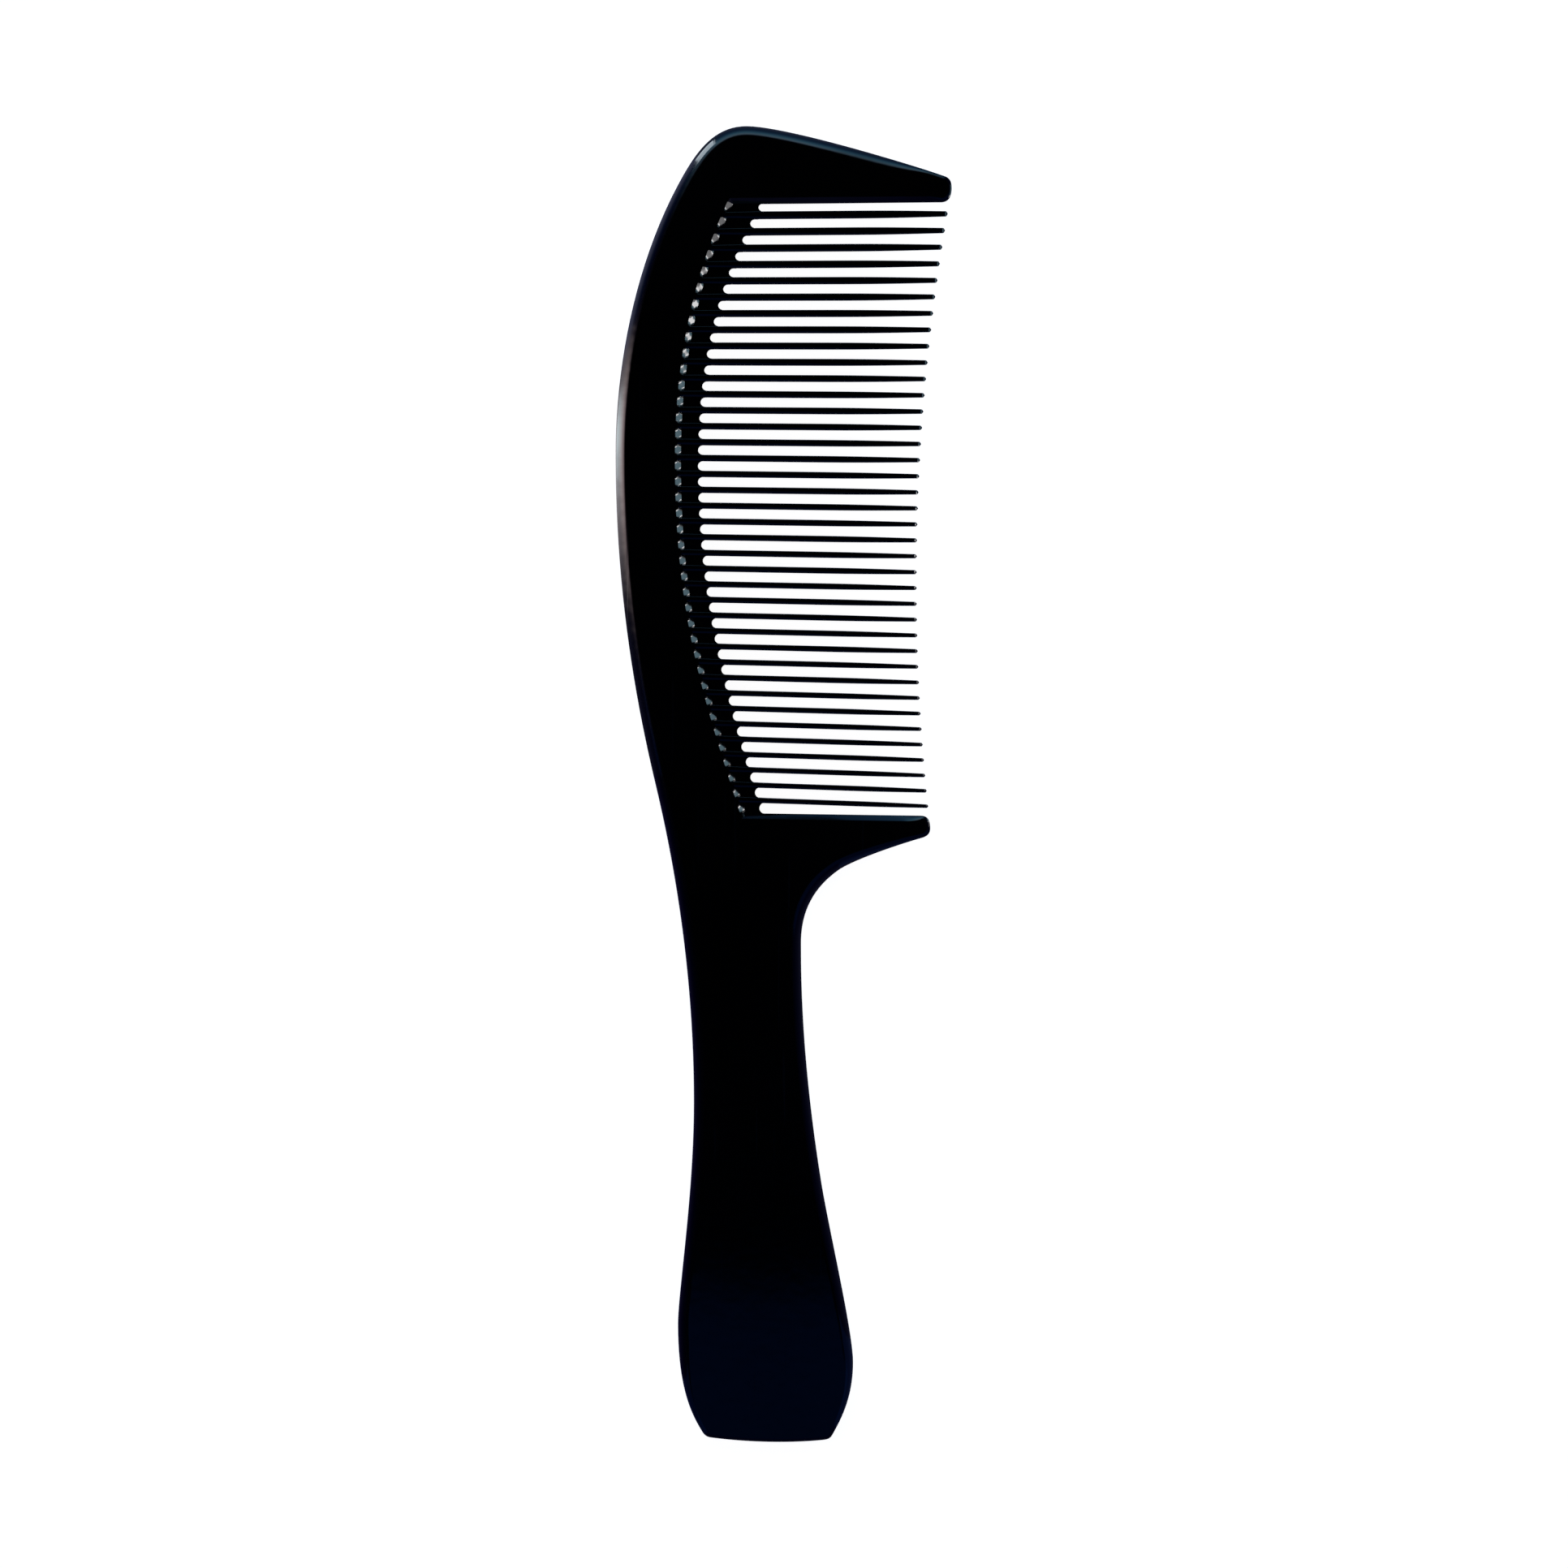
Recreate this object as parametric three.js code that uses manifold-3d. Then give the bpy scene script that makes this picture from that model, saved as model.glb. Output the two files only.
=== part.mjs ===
// A handled, wide-spaced styling comb, moulded in one piece from gloss black plastic.
//
// Millimetres. The comb lies flat: +X points to the tooth tips, +Y to the head end of the
// comb and +Z up, with Z = 0 on the underside and the origin under the middle of the plan.
// Handle, back, guards, ribbed root web and teeth are regions of one moulding. They are
// modelled as separate solids that meet face to face.

import * as THREE from 'three';
import { ConvexGeometry } from 'three/addons/geometries/ConvexGeometry.js';
import { mergeVertices } from 'three/addons/utils/BufferGeometryUtils.js';
import Module from 'manifold-3d';

const wasm = await Module();
wasm.setup();

// Driving dimensions
const THICKNESS = 4.8; // handle and back
const WEB_THICKNESS = 3.0; // recessed sheet that carries the tooth roots
const BORDER_BEVEL = 0.8; // width of the sloping wall round the tooth field
const EDGE_RADIUS = 1.8; // rounding of the handle's and the back's outer edges
const GUARD_TIP_EDGE_RADIUS = 0.9;
const HANDLE_END_EDGE_RADIUS = 0.8;
const GUARD_TIP_THICKNESS = 2.4;
const HANDLE_END_THICKNESS = 3.4;
const EDGE_STEPS = 3; // facets across one rounded edge
const GUARD_EASE_LENGTH = 17; // over which a guard's edge radius shrinks to its tip's
const END_EASE_Y = -92; // where the handle's edge radius starts to shrink
const END_EASE_LENGTH = 13;

// Where the moulding is divided into regions
const HANDLE_TOP_Y = -26;
const HANDLE_END_Y = -78;
const HANDLE_BOTTOM_Y = -107.4;
const TOP_GUARD_LOW_Y = 90;
const LOWER_GUARD_HIGH_Y = 0;
const FAR = 120; // past every edge of the comb
const TOP_GUARD_X = 0;
const LOWER_GUARD_X = 6;
const TOP_GUARD_TIP_X = 27.5;
const LOWER_GUARD_TIP_X = 24.0;

// Teeth
const TOOTH_COUNT = 38;
const FIRST_TIP_Y = 93.09;
const TIP_PITCH = 2.7275; // pitch at the first tooth
const TIP_PITCH_CLOSING = 0.003047; // the teeth close up a little towards the handle
const TIP_REACH_X = 21.8; // shortest tooth
const TIP_CURVE = 0.0014; // parabola through the tips
const TIP_CURVE_Y = 33;
const FIRST_TOOTH_SLOPE = 0.007; // the teeth fan out slightly
const LAST_TOOTH_SLOPE = -0.0355;
const FIRST_TOOTH_WIDTH = 1.3;
const LAST_TOOTH_WIDTH = 0.87;
const WIDTH_EASE = 0.75;
const TOOTH_TIP_WIDTH_SHARE = 0.68;
const TOOTH_TAPER_LENGTH = 16;
const TOOTH_ROOT_THICKNESS = 4.2;
const TOOTH_TIP_THICKNESS = 1.6;
const TOOTH_STATIONS = [16, 9, 3.5, 0.5]; // distances of a tooth's sections from its tip
const TIP_ROUNDING = { distance: 0.12, share: 0.6 }; // last section before the point
const TIP_POINT = { width: 0.1, thickness: 0.2 }; // shares of the size left at the very tip
const SHOULDER_SPAN = 0.5; // width of a tooth's flat face, as a share of its width
const SHOULDER_RISE = 0.55; // height of a tooth's side, as a share of its thickness
const RIB_DRAFT = 0.04;
const RIB_CLEARANCE = 0.3;
const LAND = 0.1; // straight bit of slot wall beyond each round slot end
const SCALLOP_STEPS = 5;

const BLACK = { color: 0x060606, roughness: 0.14, metalness: 0 };

// A span of an outline: a cubic curve or a straight line, and the number of steps along it.
function bend(start, control1, control2, end, steps) {
  const points = [start, control1, control2, end].map(([x, y]) => new THREE.Vector2(x, y));
  return { curve: new THREE.CubicBezierCurve(...points), steps };
}

function straight(start, end) {
  const points = [start, end].map(([x, y]) => new THREE.Vector2(x, y));
  return { curve: new THREE.LineCurve(...points), steps: 1 };
}

// The points along the spans, without the last one.
function pointsAlong(spans) {
  return spans.flatMap(({ curve, steps }) => curve.getPoints(steps).slice(0, -1));
}

const outerSpans = [
  // Apex of the head, then down the bowed back
  bend([-6.0, 107.4], [-11.7, 107.4], [-14.6, 102.6], [-17.2, 97.8], 9),
  bend([-17.2, 97.8], [-24.4, 84.3], [-27.4, 67.7], [-27.4, 53.5], 12),
  bend([-27.4, 53.5], [-27.4, 33.7], [-24.7, 16.1], [-21.0, 0.5], 12),
  // Waist and handle
  bend([-21.0, 0.5], [-16.7, -17.3], [-14.6, -34.9], [-14.6, -52.0], 12),
  bend([-14.6, -52.0], [-14.6, -67.0], [-17.2, -83.0], [-17.2, -88.2], 9),
  bend([-17.2, -88.2], [-17.2, -99.0], [-14.8, -103.2], [-13.2, -105.8], 8),
  // Handle end
  bend([-13.2, -105.8], [-12.9, -106.3], [-12.5, -106.6], [-11.9, -106.7], 3),
  bend([-11.9, -106.7], [-6.0, -107.5], [1.0, -107.67], [6.6, -107.1], 8),
  bend([6.6, -107.1], [7.4, -107.0], [7.7, -106.8], [8.0, -106.3], 3),
  // Up the finger side of the handle and round the throat
  bend([8.0, -106.3], [9.4, -103.8], [11.4, -100.2], [11.4, -94.4], 8),
  bend([11.4, -94.4], [11.4, -89.6], [7.6, -73.3], [6.3, -65.6], 8),
  bend([6.3, -65.6], [4.2, -52.7], [2.9, -39.6], [2.9, -26.9], 8),
  bend([2.9, -26.9], [2.9, -24.6], [2.6, -18.6], [9.0, -14.1], 10),
  bend([9.0, -14.1], [11.4, -12.4], [19.2, -9.8], [22.4, -8.9], 6),
  // Lower guard tip
  bend([22.4, -8.9], [23.5, -8.6], [24.0, -8.2], [24.0, -7.2], 4),
  bend([24.0, -7.2], [24.0, -5.8], [23.5, -5.2], [22.4, -5.2], 4),
];

const fieldSpans = [
  // Border of the tooth field: lower guard's edge, back, top guard's edge
  straight([22.4, -5.2], [-6.0, -4.8]),
  bend([-6.0, -4.8], [-11.8, 13.7], [-16.65, 27.0], [-16.65, 53.0], 20),
  bend([-16.65, 53.0], [-16.65, 67.0], [-14.4, 81.0], [-8.1, 94.7], 16),
  straight([-8.1, 94.7], [25.8, 95.0]),
];

const headSpans = [
  // Top guard tip and the long top edge
  bend([25.8, 95.0], [27.1, 95.05], [27.5, 96.0], [27.5, 97.3], 4),
  bend([27.5, 97.3], [27.5, 98.5], [27.1, 99.0], [26.1, 99.3], 4),
  bend([26.1, 99.3], [19.5, 101.6], [0.1, 107.4], [-6.0, 107.4], 12),
];

// Line through the deepest points of the slots between the teeth.
const slotEndSpans = [
  bend([-3.85, -3.98], [-9.1, 13.2], [-13.9, 29.5], [-13.9, 51.5], 16),
  bend([-13.9, 51.5], [-13.9, 65.5], [-12.1, 79.2], [-4.0, 94.1], 16),
];

const closed = (spans) => [...pointsAlong(spans), spans.at(-1).curve.getPoint(1)];
const fieldBorder = closed(fieldSpans);
const slotEnds = closed(slotEndSpans);

// X on a line of points that runs in Y, at the given height.
function xAt(points, y) {
  const next = points.findIndex((point, i) => i > 0 && (points[i - 1].y - y) * (point.y - y) <= 0);
  const [a, b] = [points[next - 1], points[next]];
  return THREE.MathUtils.mapLinear(y, a.y, b.y, a.x, b.x);
}

// Y on the straight line through two points, at the given X.
const yAt = (a, b, x) => THREE.MathUtils.mapLinear(x, a.x, b.x, a.y, b.y);

function geometryOf(positions, index) {
  const geometry = new THREE.BufferGeometry();
  geometry.setAttribute('position', new THREE.Float32BufferAttribute(positions, 3));
  geometry.setIndex(index);
  return geometry;
}

function solidOf(geometry) {
  const bare = geometry.clone();
  bare.deleteAttribute('normal');
  bare.deleteAttribute('uv');
  const merged = mergeVertices(bare, 1e-4);
  const vertProperties = new Float32Array(merged.attributes.position.array);
  const triVerts = new Uint32Array(merged.index.array);
  return new wasm.Manifold(new wasm.Mesh({ numProp: 3, vertProperties, triVerts }));
}

function geometryFrom(solid) {
  const mesh = solid.getMesh();
  return geometryOf(mesh.vertProperties, Array.from(mesh.triVerts));
}

// A box solid from its lowest and highest corners.
function boxSolid(low, high) {
  const size = high.map((value, axis) => value - low[axis]);
  const middle = high.map((value, axis) => (value + low[axis]) / 2);
  return solidOf(new THREE.BoxGeometry(...size).translate(...middle));
}

// Stacks loops of points with the same count and closes both ends. Loops turn
// counter-clockwise seen from the end of the stack.
function stackLoops(loops, endFaces) {
  const count = loops[0].length;
  const positions = loops.flat().flatMap((point) => [point.x, point.y, point.z]);
  const index = [];
  for (let layer = 0; layer + 1 < loops.length; layer += 1) {
    for (let i = 0; i < count; i += 1) {
      const next = (i + 1) % count;
      const low = [layer * count + i, layer * count + next];
      const high = [low[0] + count, low[1] + count];
      index.push(low[0], low[1], high[1], low[0], high[1], high[0]);
    }
  }
  const last = (loops.length - 1) * count;
  for (const [a, b, c] of endFaces) {
    index.push(a, c, b);
    index.push(last + a, last + b, last + c);
  }
  return geometryOf(positions, index);
}

// Each point of a counter-clockwise outline moved inwards by its own distance.
function insetOutline(outline, distances) {
  return outline.map((point, i) => {
    const before = point.clone().sub(outline.at(i - 1)).normalize();
    const after = outline[(i + 1) % outline.length].clone().sub(point).normalize();
    const inward = new THREE.Vector2(-before.y - after.y, before.x + after.x);
    return point.clone().addScaledVector(inward, distances[i] / (1 + before.dot(after)));
  });
}

function edgeRadiusAt({ x, y }) {
  if (y > HANDLE_TOP_Y) {
    const towardsTip = THREE.MathUtils.clamp((x - LOWER_GUARD_X) / GUARD_EASE_LENGTH, 0, 1);
    return THREE.MathUtils.lerp(EDGE_RADIUS, GUARD_TIP_EDGE_RADIUS, towardsTip);
  }
  const towardsEnd = THREE.MathUtils.clamp((END_EASE_Y - y) / END_EASE_LENGTH, 0, 1);
  return THREE.MathUtils.lerp(EDGE_RADIUS, HANDLE_END_EDGE_RADIUS, towardsEnd);
}

// One step up an edge from its side to the flat face: how far in, and how high.
function edgeStep(point, isBorder, share) {
  const half = THICKNESS / 2;
  if (isBorder) {
    const foot = WEB_THICKNESS / 2;
    return { inset: BORDER_BEVEL * share, height: THREE.MathUtils.lerp(foot, half, share) };
  }
  const radius = edgeRadiusAt(point);
  const angle = (share * Math.PI) / 2;
  return { inset: radius * (1 - Math.cos(angle)), height: half - radius * (1 - Math.sin(angle)) };
}

// The whole C-shaped body with its handle, as one plate with shaped edges.
function bodyPlate() {
  const outer = pointsAlong(outerSpans);
  const field = fieldBorder.slice(0, -1);
  const outline = [...outer, ...field, ...pointsAlong(headSpans)];
  const isBorder = outline.map((_, i) => i > outer.length && i < outer.length + field.length);
  const loops = [];
  for (let step = 0; step <= EDGE_STEPS; step += 1) {
    const steps = outline.map((point, i) => edgeStep(point, isBorder[i], step / EDGE_STEPS));
    const inset = insetOutline(outline, steps.map((edge) => edge.inset));
    const level = (side) => inset.map((p, i) => new THREE.Vector3(p.x, p.y, side * steps[i].height));
    loops.push(level(1));
    loops.unshift(level(-1));
  }
  const topFace = loops.at(-1).map(({ x, y }) => new THREE.Vector2(x, y));
  return solidOf(stackLoops(loops, THREE.ShapeUtils.triangulateShape(topFace, [])));
}

// Thins a region evenly towards one end. Both faces stay flat.
function taper(geometry, axis, from, to, endThickness) {
  const position = geometry.attributes.position;
  for (let i = 0; i < position.count; i += 1) {
    const along = (position.getComponent(i, axis) - from) / (to - from);
    const scale = THREE.MathUtils.lerp(1, endThickness / THICKNESS, along);
    position.setZ(i, position.getZ(i) * scale);
  }
  return geometry;
}

// The part of the plate between two heights in Y.
function region(body, lowY, highY) {
  return body.intersect(boxSolid([-FAR, lowY, -FAR], [FAR, highY, FAR]));
}

function bodyRegions() {
  const body = bodyPlate();
  const topGuardBox = boxSolid([TOP_GUARD_X, TOP_GUARD_LOW_Y, -FAR], [FAR, FAR, FAR]);
  const lowerGuardBox = boxSolid([LOWER_GUARD_X, HANDLE_TOP_Y, -FAR], [FAR, LOWER_GUARD_HIGH_Y, FAR]);
  const topGuard = body.intersect(topGuardBox);
  const lowerGuard = body.intersect(lowerGuardBox);
  const handle = region(body, HANDLE_END_Y, HANDLE_TOP_Y);
  const handleEnd = region(body, -FAR, HANDLE_END_Y);
  const head = region(body, HANDLE_TOP_Y, FAR);
  const back = head.subtract(topGuardBox).subtract(lowerGuardBox);
  const thinTop = [TOP_GUARD_X, TOP_GUARD_TIP_X, GUARD_TIP_THICKNESS];
  const thinLower = [LOWER_GUARD_X, LOWER_GUARD_TIP_X, GUARD_TIP_THICKNESS];
  const thinEnd = [HANDLE_END_Y, HANDLE_BOTTOM_Y, HANDLE_END_THICKNESS];
  return {
    handle: geometryFrom(handle),
    handle_end: taper(geometryFrom(handleEnd), 1, ...thinEnd),
    back: geometryFrom(back),
    top_guard: taper(geometryFrom(topGuard), 0, ...thinTop),
    lower_guard: taper(geometryFrom(lowerGuard), 0, ...thinLower),
  };
}

// Where one tooth lies and how wide it is. Tooth 0 is next to the top guard.
function toothLayout(i) {
  const share = i / (TOOTH_COUNT - 1);
  const tipY = FIRST_TIP_Y - TIP_PITCH * i + TIP_PITCH_CLOSING * i * i;
  const tipX = TIP_REACH_X + TIP_CURVE * (tipY - TIP_CURVE_Y) ** 2;
  const slope = THREE.MathUtils.lerp(FIRST_TOOTH_SLOPE, LAST_TOOTH_SLOPE, share);
  const width = THREE.MathUtils.lerp(FIRST_TOOTH_WIDTH, LAST_TOOTH_WIDTH, share ** WIDTH_EASE);
  return { tipX, width, centreY: (x) => tipY - slope * (tipX - x) };
}

// The slot between two neighbours, from the Y of its upper wall and of its lower wall.
function slotLayout(upperWallY, lowerWallY) {
  const middleY = (upperWallY(0) + lowerWallY(0)) / 2;
  const roughX = xAt(slotEnds, THREE.MathUtils.clamp(middleY, slotEnds[0].y, slotEnds.at(-1).y));
  const upperY = upperWallY(roughX);
  const lowerY = lowerWallY(roughX);
  const radius = (upperY - lowerY) / 2;
  return { upperY, lowerY, radius, endX: roughX, rootX: roughX + radius };
}

function allSlots(teeth) {
  const [lowTip, lowCorner] = fieldBorder;
  const [topCorner, topTip] = fieldBorder.slice(-2);
  const upperWalls = [(x) => yAt(topCorner, topTip, x)];
  const lowerWalls = [];
  for (const { centreY, width } of teeth) {
    lowerWalls.push((x) => centreY(x) + width / 2);
    upperWalls.push((x) => centreY(x) - width / 2);
  }
  lowerWalls.push((x) => yAt(lowTip, lowCorner, x));
  return upperWalls.map((upper, i) => slotLayout(upper, lowerWalls[i]));
}

// Half-round end of one slot, from its upper wall round to its lower wall.
function scallop({ upperY, lowerY, radius, rootX }) {
  const points = [];
  for (let step = 0; step <= SCALLOP_STEPS; step += 1) {
    const angle = Math.PI / 2 + (Math.PI * step) / SCALLOP_STEPS;
    const y = (upperY + lowerY) / 2 + radius * Math.sin(angle);
    points.push(new THREE.Vector2(rootX + radius * Math.cos(angle), y));
  }
  return points;
}

// Section of a blade in a plane of constant X: an octagon with slender shoulders.
function bladeSection(x, y, width, thickness) {
  const corners = [
    [1, SHOULDER_RISE], [SHOULDER_SPAN, 1], [-SHOULDER_SPAN, 1], [-1, SHOULDER_RISE],
  ];
  const loop = [...corners, ...corners.map(([across, up]) => [-across, -up])];
  return loop.map(([across, up]) => (
    new THREE.Vector3(x, y + (across * width) / 2, (up * thickness) / 2)));
}

// A tooth from its root plane to its rounded tip: the hull of its sections.
function tooth({ tipX, width, centreY }, rootX) {
  const length = tipX - rootX;
  const section = (distance, rounding) => {
    const grown = Math.sin((Math.PI / 2) * Math.min(1, distance / TOOTH_TAPER_LENGTH));
    const share = THREE.MathUtils.lerp(TOOTH_TIP_WIDTH_SHARE, 1, grown);
    const thickness = THREE.MathUtils.lerp(TOOTH_TIP_THICKNESS, TOOTH_ROOT_THICKNESS, distance / length);
    const x = tipX - distance;
    return bladeSection(x, centreY(x), width * share * rounding, thickness * rounding);
  };
  const full = [length, ...TOOTH_STATIONS].flatMap((distance) => section(distance, 1));
  const rounded = section(TIP_ROUNDING.distance, TIP_ROUNDING.share);
  const pointWidth = width * TIP_POINT.width;
  const pointThickness = TOOTH_TIP_THICKNESS * TIP_POINT.thickness;
  const point = bladeSection(tipX, centreY(tipX), pointWidth, pointThickness);
  return new ConvexGeometry([...full, ...rounded, ...point]);
}

// The stiffening rib that carries one tooth across the web.
function rib({ width, centreY }, rootX) {
  const borderX = xAt(fieldBorder.slice(1, -1), centreY(rootX));
  const startX = borderX + RIB_CLEARANCE + width / 2;
  const ribWidth = width - 2 * RIB_DRAFT;
  const sections = [startX, rootX].map((x) => (
    bladeSection(x, centreY(x), ribWidth, TOOTH_ROOT_THICKNESS)));
  return solidOf(new ConvexGeometry(sections.flat()));
}

// The recessed sheet between the field border and the slots, with a rib for each tooth.
function rootWeb(teeth, slots, rootXs) {
  const edge = slots.flatMap((slot, i) => {
    const points = scallop(slot);
    if (i > 0) {
      points.unshift(new THREE.Vector2(rootXs[i - 1], slot.upperY));
    }
    if (i < teeth.length) {
      points.push(new THREE.Vector2(rootXs[i], slot.lowerY));
    }
    return points;
  });
  // The border runs from the low corner up to the top corner, so it continues in reverse
  // order round the plan and the loop is turned the counter-clockwise way.
  const outline = [...edge, ...fieldBorder.slice(1, -1)].reverse();
  const level = (z) => outline.map((point) => new THREE.Vector3(point.x, point.y, z));
  const sheetLoops = [level(-WEB_THICKNESS / 2), level(WEB_THICKNESS / 2)];
  const sheet = solidOf(stackLoops(sheetLoops, THREE.ShapeUtils.triangulateShape(outline, [])));
  return geometryFrom(teeth.reduce((web, layout, i) => web.add(rib(layout, rootXs[i])), sheet));
}

const comb = new THREE.Group();
comb.position.z = THICKNESS / 2;

function addNode(name, geometry) {
  const mesh = new THREE.Mesh(geometry, new THREE.MeshStandardMaterial(BLACK));
  mesh.name = name;
  comb.add(mesh);
}

const teeth = Array.from({ length: TOOTH_COUNT }, (_, i) => toothLayout(i));
const slots = allSlots(teeth);
const rootXs = teeth.map((_, i) => Math.max(slots[i].rootX, slots[i + 1].rootX) + LAND);

for (const [name, geometry] of Object.entries(bodyRegions())) {
  addNode(name, geometry);
}
addNode('root_web', rootWeb(teeth, slots, rootXs));
teeth.forEach((layout, i) => {
  addNode(`tooth_${String(i + 1).padStart(2, '0')}`, tooth(layout, rootXs[i]));
});

export default comb;
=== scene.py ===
"""The finished look of a handled styling comb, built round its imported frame.

The comb is one moulding in gloss black plastic. It is dressed here as a body (handle, back
and guards in one flowing skin), the recessed web that carries the roots, and the teeth.
Outline points are in millimetres in the comb's own plan: X to the tooth tips, Y to the head.
"""
import logging
import math
from dataclasses import dataclass, field
from enum import Enum
from typing import Any, Callable, Iterator, Sequence

import bmesh
import bpy
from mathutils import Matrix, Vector


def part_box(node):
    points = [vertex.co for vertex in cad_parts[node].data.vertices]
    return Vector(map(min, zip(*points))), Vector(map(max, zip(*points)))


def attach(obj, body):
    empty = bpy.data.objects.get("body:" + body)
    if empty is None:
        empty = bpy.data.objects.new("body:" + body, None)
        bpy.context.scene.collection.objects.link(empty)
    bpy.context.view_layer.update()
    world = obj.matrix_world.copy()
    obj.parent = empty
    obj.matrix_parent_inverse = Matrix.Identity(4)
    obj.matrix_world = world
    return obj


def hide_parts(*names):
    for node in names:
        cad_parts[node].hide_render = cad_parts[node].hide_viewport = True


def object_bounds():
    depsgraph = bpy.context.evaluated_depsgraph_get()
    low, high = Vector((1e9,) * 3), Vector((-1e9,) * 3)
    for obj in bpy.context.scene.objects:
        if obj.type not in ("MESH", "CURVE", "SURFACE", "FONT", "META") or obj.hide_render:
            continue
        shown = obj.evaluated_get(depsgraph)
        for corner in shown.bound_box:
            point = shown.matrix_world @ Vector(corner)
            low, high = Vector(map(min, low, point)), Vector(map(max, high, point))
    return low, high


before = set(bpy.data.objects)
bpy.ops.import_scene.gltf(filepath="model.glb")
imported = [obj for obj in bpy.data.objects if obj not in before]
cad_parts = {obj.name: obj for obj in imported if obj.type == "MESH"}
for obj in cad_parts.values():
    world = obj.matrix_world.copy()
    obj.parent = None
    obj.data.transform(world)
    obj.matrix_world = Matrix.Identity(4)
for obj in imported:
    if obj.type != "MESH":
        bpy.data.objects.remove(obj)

LOG = logging.getLogger("comb")
MM = 0.001
CAD_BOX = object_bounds()
BODY = "root"
TOOTH_COUNT = sum(name.startswith("tooth_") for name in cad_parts)
NEAR_BORDER_X = -10.0  # Close to where the teeth meet the back, in millimetres
TOUCH = 0.01  # Points closer than this count as level, in millimetres
WELD = 1e-7  # Vertices closer than this are one, in metres
FLAT = 0.9999  # A face lies flat to an axis when its normal passes this along it

Object = bpy.types.Object
Material = bpy.types.Material
Point = tuple[float, float]
Triple = tuple[float, float, float]
Stops = tuple[tuple[float, Triple], ...]


# ---- shader graphs


@dataclass(frozen=True)
class Wire:
    """One output socket. Arithmetic on it adds Math nodes."""

    graph: "Graph"
    socket: bpy.types.NodeSocket

    def _math(self, operation: str, first: Any, second: Any) -> "Wire":
        """Adds one Math node and returns its result."""
        return self.graph.add("ShaderNodeMath", {0: first, 1: second}, operation=operation)[0]

    def __add__(self, other: Any) -> "Wire":
        """Returns self + other."""
        return self._math("ADD", self, other)

    def __sub__(self, other: Any) -> "Wire":
        """Returns self - other."""
        return self._math("SUBTRACT", self, other)

    def __mul__(self, other: Any) -> "Wire":
        """Returns self * other."""
        return self._math("MULTIPLY", self, other)


class Graph:
    """The node tree of a material or a world, emptied and ready to fill."""

    def __init__(self, tree: bpy.types.NodeTree) -> None:
        """Empties the tree."""
        self.tree = tree
        tree.nodes.clear()

    def add(self, kind: str, inputs: dict[Any, Any] | None = None, **settings: Any) -> list[Wire]:
        """Adds one node.

        Args:
            kind: the node's type.
            inputs: values or wires by socket name or number.
            **settings: the node's own properties.

        Returns:
            One wire for each output.
        """
        node = self.tree.nodes.new(kind)
        for name, value in settings.items():
            setattr(node, name, value)
        for name, value in (inputs or {}).items():
            if isinstance(value, Wire):
                self.tree.links.new(value.socket, node.inputs[name])
            else:
                node.inputs[name].default_value = value
        return [Wire(self, socket) for socket in node.outputs]

    def ramp(self, stops: Sequence[tuple[float, Any]], factor: Wire) -> Wire:
        """Adds a colour ramp.

        Args:
            stops: position and grey value, or position and colour, of each stop.
            factor: where along the ramp the colour is read.

        Returns:
            The colour.
        """
        colour = self.add("ShaderNodeValToRGB", {"Fac": factor})[0]
        elements = colour.socket.node.color_ramp.elements
        while len(elements) < len(stops):
            elements.new(1.0)
        for element, (position, value) in zip(elements, stops):
            element.position = position
            rgb = value if isinstance(value, tuple) else (value,) * 3
            element.color = (*rgb, 1.0)
        return colour

    def mix(self, factor: Wire, first: Any, second: Any, blend: str = "MIX") -> Wire:
        """Mixes two colours. Only a plain mix holds its factor to 1."""
        settings = {"data_type": "RGBA", "blend_type": blend, "clamp_factor": blend == "MIX"}
        return self.add("ShaderNodeMix", {0: factor, 6: first, 7: second}, **settings)[2]

    def surface(self, inputs: dict[str, Any]) -> None:
        """Adds a Principled shader with these inputs, and the material's output."""
        shader = self.add("ShaderNodeBsdfPrincipled", inputs)
        self.add("ShaderNodeOutputMaterial", {"Surface": shader[0]})


# ---- finishes


class Finish:
    """A material that paints itself into an empty graph."""

    name: str

    def build(self) -> Material:
        """Makes the material.

        Returns:
            The finished material.
        """
        material = bpy.data.materials.new(self.name)
        material.use_nodes = True
        self.paint(Graph(material.node_tree))
        return material

    def paint(self, graph: Graph) -> None:
        """Fills the material's graph. Each finish has its own way."""
        raise NotImplementedError


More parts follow.
